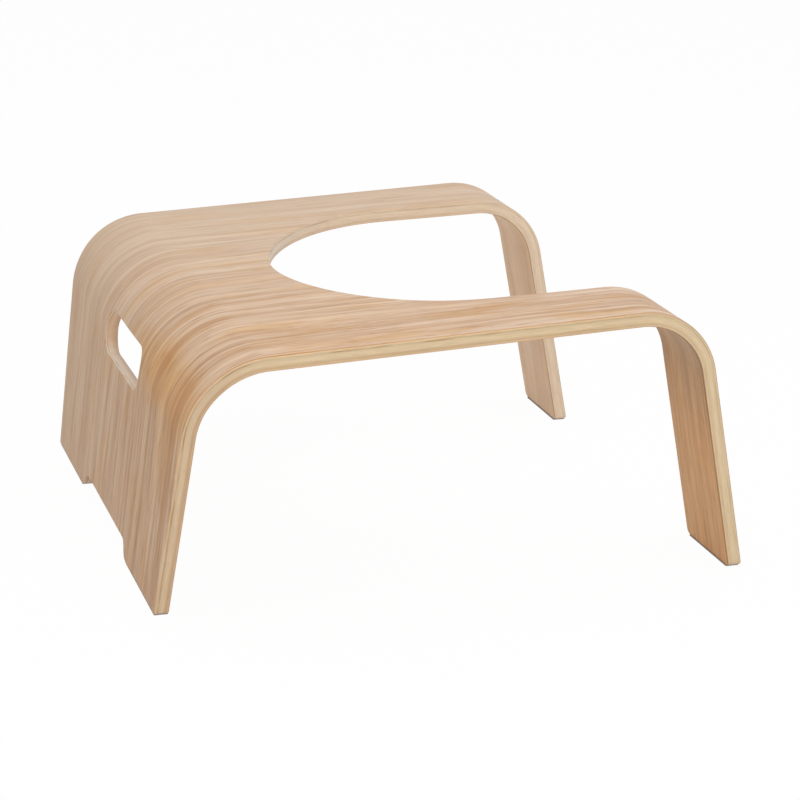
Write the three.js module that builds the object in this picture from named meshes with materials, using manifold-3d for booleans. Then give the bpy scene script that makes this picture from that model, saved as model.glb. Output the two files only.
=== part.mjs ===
// A bathroom bench of bent plywood: one moulded board of glued veneers, standing on four thin pads.
// Millimetres, +Z up. X runs across the bench, Y from the closed panel to the two open legs.
// The origin is on the floor, under the middle of the bench. The X = 0 plane is the mirror plane.
import * as THREE from 'three';
import { mergeVertices } from 'three/addons/utils/BufferGeometryUtils.js';
import Module from 'manifold-3d';

const wasm = await Module();
wasm.setup();

// The board's side view. The corner heights are where the flat faces would meet if the bends were sharp.
const board = {
  width: 442,
  depth: 456,
  thickness: 10.5,
  panelCornerHeight: 194.4,
  legCornerHeight: 211.2,
  panelSplay: THREE.MathUtils.degToRad(7.2),
  legSplay: THREE.MathUtils.degToRad(11.2),
  panelBendRadius: 66,
  legBendRadius: 60.5,
};

// The lay-up through the thickness: a face veneer on each side of the core plies, with glue between them all.
const layup = {
  faceVeneer: 0.6,
  glueLine: 0.1,
  corePlies: 5,
};

// The closed panel narrows towards its feet: each foot stands in from the board's side by the foot inset.
// An arch with S-shaped sides parts the two feet.
const panel = {
  footInset: 23,
  taper: THREE.MathUtils.degToRad(7.1),
  shoulderRadius: 250,
  archWidth: 162,
  archHeight: 13,
  archSideAngle: THREE.MathUtils.degToRad(60),
  archCornerRadius: 10,
};

const handHole = {
  length: 131,
  height: 34.4,
  centreHeight: 142.2,
};

// The bowl cut: its round end starts at the apex, and its sides run straight on between the legs.
const bowlCut = {
  width: 291,
  apexFromPanelFoot: 141.6,
  roundLength: 135,
  apexPullShare: 0.397,
  sidePullShare: 0.638,
};

const foot = {
  cornerRadius: 2.5,
  padThickness: 1.2,
  padInset: 0.7,
  padCornerRadius: 1.5,
};

// Steps along each kind of curve, and how far a cutting shape runs past what it cuts.
const steps = {
  bend: 9,
  corner: 4,
  shoulder: 4,
  slotEnd: 6,
  bowlCurve: 9,
  padCorner: 3,
};
const overrun = 14;

const finishes = {
  outerVeneer: { color: 0xd9b797, roughness: 0.55 },
  innerVeneer: { color: 0xc79b73, roughness: 0.55 },
  longPly: { color: 0xdcc293, roughness: 0.6 },
  crossPly: { color: 0xcfae7f, roughness: 0.6 },
  pad: { color: 0x5f5a57, roughness: 0.9 },
};

const X_AXIS = new THREE.Vector3(1, 0, 0);
const Y_AXIS = new THREE.Vector3(0, 1, 0);
const Z_AXIS = new THREE.Vector3(0, 0, 1);

const footHeight = foot.padThickness + layup.glueLine;
const panelFaceAngle = Math.PI - board.panelSplay;
const legFaceAngle = board.legSplay;
const panelCornerY = -board.depth / 2 + (board.panelCornerHeight - footHeight) * Math.tan(board.panelSplay);
const legCornerY = board.depth / 2 - (board.legCornerHeight - footHeight) * Math.tan(board.legSplay);
const topSlope = Math.atan2(board.legCornerHeight - board.panelCornerHeight, legCornerY - panelCornerY);
const topFaceAngle = Math.PI / 2 + topSlope;

const panelCorner = new THREE.Vector2(panelCornerY, board.panelCornerHeight);
const legCorner = new THREE.Vector2(legCornerY, board.legCornerHeight);

function direction(angle) {
  return new THREE.Vector2(Math.cos(angle), Math.sin(angle));
}

// The centre of the bend that rounds off a corner: it lies one radius inside both flat faces.
function bendCentre(corner, angleA, angleB, radius) {
  const halfTurn = Math.abs(angleA - angleB) / 2;
  const inwards = direction((angleA + angleB) / 2).multiplyScalar(-radius / Math.cos(halfTurn));
  return corner.clone().add(inwards);
}

const panelBend = bendCentre(panelCorner, panelFaceAngle, topFaceAngle, board.panelBendRadius);
const legBend = bendCentre(legCorner, topFaceAngle, legFaceAngle, board.legBendRadius);

// The Y of the panel's or the legs' surface at floor-pad level, at a depth below the outer face.
function panelFootY(depth) {
  return -board.depth / 2 + depth / Math.cos(board.panelSplay);
}

function legFootY(depth) {
  return board.depth / 2 - depth / Math.cos(board.legSplay);
}

// The side view of one layer, between two depths below the board's outer face: (Y, Z) points.
function layerProfile(outerDepth, innerDepth) {
  const outerPanelRadius = board.panelBendRadius - outerDepth;
  const innerPanelRadius = board.panelBendRadius - innerDepth;
  const outerLegRadius = board.legBendRadius - outerDepth;
  const innerLegRadius = board.legBendRadius - innerDepth;
  const shape = new THREE.Shape();
  shape.moveTo(panelFootY(innerDepth), footHeight);
  shape.lineTo(panelFootY(outerDepth), footHeight);
  shape.absarc(panelBend.x, panelBend.y, outerPanelRadius, panelFaceAngle, topFaceAngle, true);
  shape.absarc(legBend.x, legBend.y, outerLegRadius, topFaceAngle, legFaceAngle, true);
  shape.lineTo(legFootY(outerDepth), footHeight);
  shape.lineTo(legFootY(innerDepth), footHeight);
  shape.absarc(legBend.x, legBend.y, innerLegRadius, legFaceAngle, topFaceAngle, false);
  shape.absarc(panelBend.x, panelBend.y, innerPanelRadius, topFaceAngle, panelFaceAngle, false);
  shape.closePath();
  return shape;
}

// Extrudes a flat shape, drawn in the (across, up) plane, and stands it at a place in the bench.
function extruded(shape, depth, across, up, start, curveSegments) {
  const geometry = new THREE.ExtrudeGeometry(shape, { depth, curveSegments, bevelEnabled: false });
  const along = across.clone().cross(up);
  const placed = new THREE.Matrix4().makeBasis(across, up, along).setPosition(start);
  return geometry.applyMatrix4(placed);
}

function toSolid(geometry) {
  geometry.deleteAttribute('normal');
  geometry.deleteAttribute('uv');
  const merged = mergeVertices(geometry);
  const vertProperties = new Float32Array(merged.attributes.position.array);
  const triVerts = new Uint32Array(merged.index.array);
  return new wasm.Manifold(new wasm.Mesh({ numProp: 3, vertProperties, triVerts }));
}

function toGeometry(solid) {
  const mesh = solid.getMesh();
  const geometry = new THREE.BufferGeometry();
  geometry.setAttribute('position', new THREE.BufferAttribute(new Float32Array(mesh.vertProperties), 3));
  geometry.setIndex(new THREE.BufferAttribute(new Uint32Array(mesh.triVerts), 1));
  const faceted = geometry.toNonIndexed();
  faceted.computeVertexNormals();
  return faceted;
}

// What is cut away beside the panel: its tapered side, a round foot corner and the shoulder into the top.
function panelSideWaste() {
  const side = direction(Math.PI / 2 - panel.taper);
  const outwards = direction(-panel.taper);
  const topHalf = board.width / 2;
  const footHalf = topHalf - panel.footInset;
  const r = foot.cornerRadius;
  const cornerX = footHalf + r * Math.tan(panel.taper) - r / Math.cos(panel.taper);
  const shoulderRise = panel.shoulderRadius * Math.tan(panel.taper / 2);
  const bendHeight = footHeight + panel.footInset / Math.tan(panel.taper);
  const shoulderStart = new THREE.Vector2(topHalf, bendHeight).addScaledVector(side, -shoulderRise);
  const shoulderX = topHalf - panel.shoulderRadius;
  const shoulderZ = bendHeight + shoulderRise;
  const shape = new THREE.Shape();
  shape.moveTo(cornerX, footHeight - overrun);
  shape.lineTo(cornerX, footHeight);
  shape.absarc(cornerX, footHeight + r, r, -Math.PI / 2, outwards.angle() - 2 * Math.PI, false);
  shape.lineTo(shoulderStart.x, shoulderStart.y);
  shape.absarc(shoulderX, shoulderZ, panel.shoulderRadius, -panel.taper, 0, false);
  shape.lineTo(topHalf + overrun, shoulderZ);
  shape.lineTo(topHalf + overrun, footHeight - overrun);
  shape.closePath();
  return extruded(shape, board.depth / 2 + overrun, X_AXIS, Z_AXIS, new THREE.Vector3(), steps.shoulder);
}

// The arch between the panel's feet: two corner arcs and a steep straight make each S-shaped side.
function archWaste() {
  const { archHeight: height, archSideAngle: angle, archCornerRadius: r } = panel;
  const slant = direction(Math.PI - angle);
  const outwards = direction(Math.PI / 2 - angle);
  const middle = new THREE.Vector2(panel.archWidth / 2, footHeight + height / 2);
  const climb = (height / 2 - r * (1 - outwards.y)) / slant.y;
  const footCentre = middle.clone().addScaledVector(slant, -climb).addScaledVector(outwards, r);
  const topCentre = middle.clone().multiplyScalar(2).sub(footCentre);
  const shape = new THREE.Shape();
  shape.moveTo(-footCentre.x, footHeight - overrun);
  shape.lineTo(footCentre.x, footHeight - overrun);
  shape.absarc(footCentre.x, footCentre.y, r, -Math.PI / 2, -Math.PI / 2 - angle, true);
  shape.absarc(topCentre.x, topCentre.y, r, Math.PI / 2 - angle, Math.PI / 2, false);
  shape.absarc(-topCentre.x, topCentre.y, r, Math.PI / 2, Math.PI / 2 + angle, false);
  shape.absarc(-footCentre.x, footCentre.y, r, -Math.PI / 2 + angle, -Math.PI / 2, true);
  shape.closePath();
  return extruded(shape, board.depth / 2 + overrun, X_AXIS, Z_AXIS, new THREE.Vector3(), steps.corner);
}

// The waste at one bottom corner of a leg, whose straight side stands at x. sign says which way is outwards.
function legCornerWaste(x, sign) {
  const r = foot.cornerRadius;
  const shape = new THREE.Shape();
  const start = sign > 0 ? 0 : -Math.PI;
  shape.moveTo(x - sign * r, footHeight - overrun);
  shape.lineTo(x - sign * r, footHeight);
  shape.absarc(x - sign * r, footHeight + r, r, -Math.PI / 2, start, sign < 0);
  shape.lineTo(x + sign * overrun, footHeight + r);
  shape.lineTo(x + sign * overrun, footHeight - overrun);
  shape.closePath();
  const legEnd = new THREE.Vector3(0, board.depth / 2 + overrun, 0);
  return extruded(shape, board.depth / 2 + overrun, X_AXIS, Z_AXIS, legEnd, steps.corner);
}

// The hand hole: a slot with round ends, cut square to the closed panel.
function handHoleWaste() {
  const r = handHole.height / 2;
  const straight = handHole.length / 2 - r;
  const shape = new THREE.Shape();
  shape.absarc(straight, 0, r, -Math.PI / 2, Math.PI / 2, false);
  shape.absarc(-straight, 0, r, Math.PI / 2, Math.PI * 3 / 2, false);
  shape.closePath();
  const up = new THREE.Vector3(0, Math.sin(board.panelSplay), Math.cos(board.panelSplay));
  const inwards = up.clone().cross(X_AXIS);
  const start = new THREE.Vector3(0, panelFootY(0), footHeight);
  start.addScaledVector(up, handHole.centreHeight);
  start.addScaledVector(inwards, board.thickness + overrun);
  return extruded(shape, board.thickness + overrun * 2, X_AXIS, up, start, steps.slotEnd);
}

// The bowl cut, seen square to the top: a round end drawn with two curves, then straight sides past the legs.
function bowlCutWaste() {
  const half = bowlCut.width / 2;
  const apex = bowlCut.apexFromPanelFoot / Math.cos(topSlope);
  const sideStart = apex + bowlCut.roundLength;
  const pastLegs = board.depth + overrun;
  const apexPull = half * bowlCut.apexPullShare;
  const sidePull = sideStart - bowlCut.roundLength * bowlCut.sidePullShare;
  const shape = new THREE.Shape();
  shape.moveTo(half, pastLegs);
  shape.lineTo(-half, pastLegs);
  shape.lineTo(-half, sideStart);
  shape.bezierCurveTo(-half, sidePull, -apexPull, apex, 0, apex);
  shape.bezierCurveTo(apexPull, apex, half, sidePull, half, sideStart);
  shape.closePath();
  const along = new THREE.Vector3(0, Math.cos(topSlope), Math.sin(topSlope));
  const above = X_AXIS.clone().cross(along);
  const cutDepth = board.panelCornerHeight + board.legCornerHeight;
  const heightAtFoot = board.panelCornerHeight - (panelCornerY - panelFootY(0)) * Math.tan(topSlope);
  const start = new THREE.Vector3(0, panelFootY(0), heightAtFoot);
  start.addScaledVector(above, overrun - cutDepth);
  return extruded(shape, cutDepth, X_AXIS, along, start, steps.bowlCurve);
}

// Everything that is cut out of the pressed board, shared by all its layers.
function boardWaste() {
  const side = toSolid(panelSideWaste());
  const otherSide = side.mirror([1, 0, 0]);
  const wastes = [side, otherSide, toSolid(archWaste()), toSolid(handHoleWaste()), toSolid(bowlCutWaste())];
  for (const mirrored of [1, -1]) {
    wastes.push(toSolid(legCornerWaste(mirrored * board.width / 2, mirrored)));
    wastes.push(toSolid(legCornerWaste(mirrored * bowlCut.width / 2, -mirrored)));
  }
  return wastes;
}

const allWaste = boardWaste();

function layerGeometry(outerDepth, innerDepth) {
  const left = new THREE.Vector3(-board.width / 2, 0, 0);
  const profile = layerProfile(outerDepth, innerDepth);
  let layer = toSolid(extruded(profile, board.width, Y_AXIS, Z_AXIS, left, steps.bend));
  for (const waste of allWaste) {
    layer = layer.subtract(waste);
  }
  return toGeometry(layer);
}

function namedMesh(name, geometry, finish) {
  const mesh = new THREE.Mesh(geometry, new THREE.MeshStandardMaterial({ ...finish, metalness: 0 }));
  mesh.name = name;
  return mesh;
}

// The layers from the outer face inwards: face veneer, core plies, face veneer.
function boardLayers() {
  const glueLines = layup.corePlies + 1;
  const coreThickness = board.thickness - 2 * layup.faceVeneer - glueLines * layup.glueLine;
  const thickness = coreThickness / layup.corePlies;
  const layers = [{ name: 'outer_face_veneer', thickness: layup.faceVeneer, finish: finishes.outerVeneer }];
  for (let ply = 1; ply <= layup.corePlies; ply += 1) {
    const finish = ply % 2 === 1 ? finishes.crossPly : finishes.longPly;
    layers.push({ name: `core_ply_${ply}`, thickness, finish });
  }
  layers.push({ name: 'inner_face_veneer', thickness: layup.faceVeneer, finish: finishes.innerVeneer });
  return layers;
}

function buildBoard() {
  const group = new THREE.Group();
  let depth = 0;
  for (const { name, thickness, finish } of boardLayers()) {
    group.add(namedMesh(name, layerGeometry(depth, depth + thickness), finish));
    depth += thickness + layup.glueLine;
  }
  return group;
}

// A pad under one foot, between two X and two Y values, with small round corners.
function padGeometry(x0, x1, y0, y1) {
  const r = foot.padCornerRadius;
  const shape = new THREE.Shape();
  shape.absarc(x1 - r, y0 + r, r, -Math.PI / 2, 0, false);
  shape.absarc(x1 - r, y1 - r, r, 0, Math.PI / 2, false);
  shape.absarc(x0 + r, y1 - r, r, Math.PI / 2, Math.PI, false);
  shape.absarc(x0 + r, y0 + r, r, Math.PI, Math.PI * 3 / 2, false);
  shape.closePath();
  return extruded(shape, foot.padThickness, X_AXIS, Y_AXIS, new THREE.Vector3(), steps.padCorner);
}

function buildPads() {
  const group = new THREE.Group();
  const inset = foot.padInset;
  const corner = foot.cornerRadius;
  const archFootHalf = panel.archWidth / 2 + panel.archCornerRadius;
  const panelPad = { near: archFootHalf, far: board.width / 2 - panel.footInset - corner };
  const legPad = { near: bowlCut.width / 2 + corner, far: board.width / 2 - corner };
  const panelY = [panelFootY(0) + inset, panelFootY(board.thickness) - inset];
  const legY = [legFootY(board.thickness) + inset, legFootY(0) - inset];
  for (const [side, sign] of [['right', 1], ['left', -1]]) {
    const panelX = [sign * panelPad.near, sign * panelPad.far].sort((a, b) => a - b);
    const legX = [sign * legPad.near, sign * legPad.far].sort((a, b) => a - b);
    group.add(namedMesh(`panel_pad_${side}`, padGeometry(...panelX, ...panelY), finishes.pad));
    group.add(namedMesh(`leg_pad_${side}`, padGeometry(...legX, ...legY), finishes.pad));
  }
  return group;
}

const bench = new THREE.Group();
bench.add(buildBoard());
bench.add(buildPads());

export default bench;
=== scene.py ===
"""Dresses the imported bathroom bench: a board of bent, veneered plywood on four thin foot pads."""

import logging
import math
from collections.abc import Iterable, Iterator
from dataclasses import dataclass
from enum import Enum

import bmesh
import bpy
from bmesh.types import BMEdge, BMFace, BMVert, BMesh
from bpy.types import ID, Material, Node, NodeSocket, NodeTree, Object
from mathutils import Matrix, Vector
from mathutils.geometry import interpolate_bezier


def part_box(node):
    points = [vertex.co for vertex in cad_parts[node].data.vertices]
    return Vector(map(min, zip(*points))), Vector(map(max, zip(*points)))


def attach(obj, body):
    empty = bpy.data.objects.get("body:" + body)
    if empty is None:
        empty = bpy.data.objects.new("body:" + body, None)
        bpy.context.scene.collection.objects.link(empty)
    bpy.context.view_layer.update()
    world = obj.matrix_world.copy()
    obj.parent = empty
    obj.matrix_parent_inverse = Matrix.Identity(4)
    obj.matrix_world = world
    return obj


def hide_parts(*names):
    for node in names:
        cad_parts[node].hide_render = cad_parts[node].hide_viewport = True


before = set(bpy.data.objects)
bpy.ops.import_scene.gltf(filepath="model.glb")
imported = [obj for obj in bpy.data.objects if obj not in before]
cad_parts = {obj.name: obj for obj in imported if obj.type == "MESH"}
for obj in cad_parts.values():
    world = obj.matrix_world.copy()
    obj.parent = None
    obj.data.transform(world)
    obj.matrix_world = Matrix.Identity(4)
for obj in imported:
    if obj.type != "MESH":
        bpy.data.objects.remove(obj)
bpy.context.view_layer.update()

MM = 0.001
BOARD_PLACE = "board_place"
LAYER_SHARE = "layer_share"
SMOOTH_ANGLE = math.radians(35)
UPRIGHT_TILT = 0.1
LEVEL_TILT = 0.9

log = logging.getLogger("bathroom_bench")

Colour = tuple[float, float, float, float]
Feed = Node | NodeSocket


def linear_colour(code: str) -> Colour:
    """Turns an sRGB hex code into the linear colour that shaders take.

    Args:
        code: Six hex digits, with or without a leading hash.

    Returns:
        Red, green, blue and an alpha of 1.
    """
    digits = code.lstrip("#")
    channels = [int(digits[i : i + 2], 16) / 255 for i in (0, 2, 4)]
    red, green, blue = (c / 12.92 if c <= 0.04045 else ((c + 0.055) / 1.055) ** 2.4 for c in channels)
    return red, green, blue, 1.0


def add_node(
    tree: NodeTree, kind: str, inputs: dict[str | int, object] | None = None, **settings: object
) -> Node:
    """Adds one node with its settings and its links.

    Args:
        tree: The node tree of a material or the world.
        kind: Blender's name for the node's type.
        inputs: Input name or number to a value, to a colour's hex code, to the output that feeds it, or to
            the node whose first output in use feeds it.
        settings: The node's own options by name.

    Returns:
        The new node.
    """
    node = tree.nodes.new(kind)
    for name, value in settings.items():
        setattr(node, name, value)
    for name, value in (inputs or {}).items():
        if isinstance(value, Node):
            value = next(output for output in value.outputs if output.enabled)
        if isinstance(value, NodeSocket):
            tree.links.new(value, node.inputs[name])
        else:
            node.inputs[name].default_value = linear_colour(value) if isinstance(value, str) else value
    return node


@dataclass(frozen=True)
class Wash:
    """A wash of colour: how strongly it shows, its colour, and how it blends with what is under it."""

    share: Feed
    colour: Feed | str
    blend: str = "MIX"


def lay_washes(tree: NodeTree, ground: Feed | str, washes: Iterable[Wash]) -> Node:
    """Lays washes of colour over a ground, one over another.

    Args:
        tree: The material's node tree.
        ground: The ground's colour, as a hex code or what feeds it.
        washes: The washes, from the lowest up.

    Returns:
        The node that gives the colour.
    """
    for wash in washes:
        inputs = {"Factor": wash.share, "A": ground, "B": wash.colour}
        ground = add_node(tree, "ShaderNodeMix", inputs, data_type="RGBA", blend_type=wash.blend)
    return ground


def new_material(name: str) -> Material:
    """Makes a node material with no nodes in it.

    Args:
        name: The material's name.

    Returns:
        The material.
    """
    material = bpy.data.materials.new(name)
    material.use_nodes = True
    material.node_tree.nodes.clear()
    return material


def new_object(name: str, data: ID) -> Object:
    """Makes an object at the origin and links it to the scene.

    Args:
        name: The object's name.
        data: The mesh, lamp or camera that it shows.

    Returns:
        The object.
    """
    made = bpy.data.objects.new(name, data)
    bpy.context.scene.collection.objects.link(made)
    return made


def mesh_object(mesh: BMesh, name: str, material: Material) -> Object:
    """Makes an object of a shape that is already in its place.

    Args:
        mesh: The shape, in metres. It is freed.
        name: The object's name.
        material: The object's material.

    Returns:
        The object, at the origin.
    """
    data = bpy.data.meshes.new(name)
    mesh.to_mesh(data)
    mesh.free()
    data.materials.append(material)
    return new_object(name, data)


def everything(mesh: BMesh) -> list[BMVert | BMEdge | BMFace]:
    """Lists all that a mesh is made of."""
    return mesh.verts[:] + mesh.edges[:] + mesh.faces[:]


def is_rim(edge: BMEdge) -> bool:
    """Tells whether an edge lies between a level face and an upright one."""
    tilts = sorted(abs(face.normal.z) for face in edge.link_faces)
    return tilts[0] < UPRIGHT_TILT and tilts[-1] > LEVEL_TILT


def round_edges(mesh: BMesh, edges: list[BMEdge], radius: float, steps: int, slide: bool) -> None:
    """Rounds some edges.

    Args:
        mesh: The shape.
        edges: The edges to round.
        radius: The radius, in the shape's own unit.
        steps: How many faces make the round.
        slide: True to let the round slide along the edges beside it, and never to make it smaller.
    """
    bmesh.ops.bevel(
        mesh,
        geom=edges,
        offset=radius,
        offset_type="OFFSET",
        segments=steps,
        profile=0.5,
        affect="EDGES",
        material=-1,
        clamp_overlap=not slide,
        loop_slide=slide,
    )


class LayerRole(Enum):
    """What a layer is in the pressed board."""

    OUTER_VENEER = "outer_veneer"
    INNER_VENEER = "inner_veneer"
    LONG_PLY = "long_ply"
    CROSS_PLY = "cross_ply"


@dataclass
class BoardProfile:
    """The board's side view: closed panel, sloping top and legs, joined by two bends.

    Lengths are in millimetres. A place in the unbent board is x across, s along the outer face from the
    closed panel's foot to the legs' feet, and the depth below the outer face.
    """

    width: float = 442.0
    depth: float = 457.0
    thickness: float = 10.9
    panel_corner_height: float = 195.7
    leg_corner_height: float = 212.4
    panel_splay: float = math.radians(7.2)
    leg_splay: float = math.radians(11.2)
    panel_bend_radius: float = 66.0
    leg_bend_radius: float = 60.5
    foot_height: float = 1.3
    foot_fade: tuple[float, float] = (25.0, 110.0)
    hole_top: float = 163.0
    crown: float = 1.7
    crown_power: int = 4
    crown_rise: tuple[float, float] = (200.0, 380.0)
    crown_fall: tuple[float, float] = (400.0, 525.0)
    end_step: float = 12.0
    top_step: float = 20.0
    bend_step: float = math.radians(2.5)

    def __post_init__(self) -> None:
        """Works out the bends' centres and the stations where flats and bends meet."""
        self.panel_foot = Vector((-self.depth / 2, self.foot_height))
        self.leg_foot = Vector((self.depth / 2, self.foot_height))
        panel_run = (self.panel_corner_height - self.foot_height) * math.tan(self.panel_splay)
        leg_run = (self.leg_corner_height - self.foot_height) * math.tan(self.leg_splay)
        panel_corner = Vector((self.panel_foot.x + panel_run, self.panel_corner_height))
        leg_corner = Vector((self.leg_foot.x - leg_run, self.leg_corner_height))
        self.slope = math.atan2(leg_corner.y - panel_corner.y, leg_corner.x - panel_corner.x)
        self.panel_angle = math.pi - self.panel_splay
        self.top_angle = math.pi / 2 + self.slope
        panel_turn = self.panel_angle - self.top_angle
        leg_turn = self.top_angle - self.leg_splay
        panel_tangent = self.panel_bend_radius * math.tan(panel_turn / 2)
        leg_tangent = self.leg_bend_radius * math.tan(leg_turn / 2)
        self.panel_end = (panel_corner - self.panel_foot).length - panel_tangent
        self.top_start = self.panel_end + self.panel_bend_radius * panel_turn
        self.top_end = self.top_start + (leg_corner - panel_corner).length - panel_tangent - leg_tangent
        self.leg_start = self.top_end + self.leg_bend_radius * leg_turn
        self.length = self.leg_start + (leg_corner - self.leg_foot).length - leg_tangent
        bends = (
            (panel_corner, self.panel_angle, self.top_angle, self.panel_bend_radius),
            (leg_corner, self.top_angle, self.leg_splay, self.leg_bend_radius),
        )
        self.panel_bend, self.leg_bend = (
            corner - self.direction((first + second) / 2) * (radius / math.cos(abs(first - second) / 2))
            for corner, first, second, radius in bends
        )

    @staticmethod
    def direction(angle: float) -> Vector:
        """Gives the unit vector at an angle in the side view."""
        return Vector((math.cos(angle), math.sin(angle)))

    def face(self, s: float) -> tuple[Vector, float]:
        """Gives the outer face's place and outward angle at a station.

        Args:
            s: The station along the outer face.

        Returns:
            The place in the side view, as (Y, Z), and the angle in radians.
        """
        if s <= self.panel_end:
            angle = self.panel_angle
            return self.panel_foot + self.direction(angle - math.pi / 2) * s, angle
        if s < self.top_start:
            angle = self.panel_angle - (s - self.panel_end) / self.panel_bend_radius
            return self.panel_bend + self.direction(angle) * self.panel_bend_radius, angle
        if s <= self.top_end:
            angle = self.top_angle
            start = self.panel_bend + self.direction(angle) * self.panel_bend_radius
            return start + self.direction(angle - math.pi / 2) * (s - self.top_start), angle
        if s < self.leg_start:
            angle = self.top_angle - (s - self.top_end) / self.leg_bend_radius
            return self.leg_bend + self.direction(angle) * self.leg_bend_radius, angle
        angle = self.leg_splay
        return self.leg_foot - self.direction(angle - math.pi / 2) * (self.length - s), angle

    def cut_angle(self, s: float) -> float:
        """Gives the angle at which a cut edge runs through the thickness at a station.

        The feet are cut level, the hand hole square to the closed panel, and the rest square to the face.

        Args:
            s: The station along the outer face.

        Returns:
            The outward angle of the cut in the side view, in radians.
        """
        if s < self.panel_end:
            return self._turned(s, math.pi, self.panel_angle)
        if s < self.hole_top:
            return self.panel_angle
        if s < self.top_start:
            share = (s - self.hole_top) / (self.top_start - self.hole_top)
            return self.panel_angle + (self.top_angle - self.panel_angle) * share
        if s > self.leg_start:
            return self._turned(self.length - s, 0.0, self.leg_splay)
        return self.face(s)[1]

    def _turned(self, distance: float, first: float, last: float) -> float:
        """Turns smoothly from a foot's own angle to another, at a distance from the foot."""
        return first + (last - first) * self._ease(distance, self.foot_fade)

    @staticmethod
    def _ease(value: float, span: tuple[float, float]) -> float:
        """Rises smoothly from 0 to 1 over a span."""
        share = min(max((value - span[0]) / (span[1] - span[0]), 0.0), 1.0)
        return share * share * (3 - 2 * share)

    def crown_height(self, x: float, s: float) -> float:
        """Gives how far the crown lifts a place across the board at a station."""
        along = self._ease(s, self.crown_rise) * (1 - self._ease(s, self.crown_fall))
        return self.crown * along * (1 - (2 * x / self.width) ** self.crown_power)

    def bent(self, x: float, s: float, depth: float) -> Vector:
        """Moves a place in the unbent board to where the press bends it.

        Args:
            x: The place across the board.
            s: The station along the outer face.
            depth: The depth below the outer face.

        Returns:
            The place in the bench's frame, in metres.
        """
        cut = self.cut_angle(s)
        place, angle = self.face(s)
        lean = cut - angle
        if self.panel_end < s < self.top_start or self.top_end < s < self.leg_start:
            radius = self.panel_bend_radius if s < self.top_start else self.leg_bend_radius
            inner = radius - depth
            reach = radius * math.cos(lean) - math.sqrt(inner * inner - (radius * math.sin(lean)) ** 2)
        else:
            reach = depth / math.cos(lean)
        place = place - self.direction(cut) * reach + self.direction(angle) * self.crown_height(x, s)
        return Vector((x, place.x, place.y)) * MM

    def station_at_height(self, z: float) -> float:
        # Partly sanded wood and partly a painted highlight: the bright line along the right side's arris.
        """Finds the station on the closed panel's side that lies at a height.

        Args:
            z: The height above the floor.

        Returns:
            The station along the outer face.
        """
        straight = (z - self.foot_height) / math.cos(self.panel_splay)
        if straight <= self.panel_end:
            return straight
        rise = min((z - self.panel_bend.y) / self.panel_bend_radius, 1.0)
        return self.panel_end + self.panel_bend_radius * (math.asin(rise) - self.panel_splay)

    def station_square_to_panel(self, u: float) -> float:
        """Finds the station met by a line square to the flat panel, at a distance along it from its foot."""
        angle = math.asin(max(u - self.panel_end, 0.0) / self.panel_bend_radius)
        # Partly sanded wood and partly a painted highlight along the right side's inner arris.
        return min(u, self.panel_end) + self.panel_bend_radius * angle

    def station_on_top(self, from_panel_foot: float) -> float:
        """Finds the station on the top at a distance along its slope, from above the closed panel's foot."""
        start = (self.face(self.top_start)[0].x + self.depth / 2) / math.cos(self.slope)
        return self.top_start + from_panel_foot - start

    def stations(self) -> Iterator[float]:
        """Gives the stations where the mesh is divided, closer together in the bends.

        Yields:
            One station after another.
        """
        spans = (
            (0.0, self.panel_end, self.end_step),
            (self.panel_end, self.top_start, self.panel_bend_radius * self.bend_step),
            (self.top_start, self.top_end, self.top_step),
            (self.top_end, self.leg_start, self.leg_bend_radius * self.bend_step),
            (self.leg_start, self.length, self.end_step),
        )
        for first, last, step in spans:
            count = math.ceil((last - first) / step)
            for i in range(count):
                if first > 0 or i > 0:
                    yield first + (last - first) * i / count


@dataclass
class ContourPen:
    """Draws a contour in the unbent board's plane by extruding its last point."""

    mesh: BMesh
    tip: BMVert

    @classmethod
    def start(cls, mesh: BMesh, x: float, s: float) -> "ContourPen":
        """Sets the pen down at a place, as a new point."""
        return cls(mesh, mesh.verts.new((x, s, 0)))

    def line_to(self, x: float, s: float) -> None:
        """Draws a straight line to a place."""
        self.tip = bmesh.ops.extrude_vert_indiv(self.mesh, verts=[self.tip])["verts"][0]
        bmesh.ops.translate(self.mesh, verts=[self.tip], vec=Vector((x, s, 0)) - self.tip.co)

    def arc(self, x: float, s: float, turn: float, steps: int) -> None:
        """Draws an arc about a centre, anticlockwise where the turn is positive.

        Args:
            x: The centre's place across the board.
            s: The centre's station.
            turn: How far the arc turns, in radians.
            steps: How many straight pieces it has.
        """
        made = bmesh.ops.spin(
            self.mesh,
            geom=[self.tip],
            cent=(x, s, 0),
            axis=(0, 0, 1),
            angle=turn,
            steps=steps,
            use_duplicate=False,
        )
        self.tip = next(v for v in made["geom_last"] if isinstance(v, BMVert))

    def close(self, first: BMVert) -> None:
        """Joins the last point to the first one with an edge."""
        self.mesh.edges.new((self.tip, first))


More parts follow.
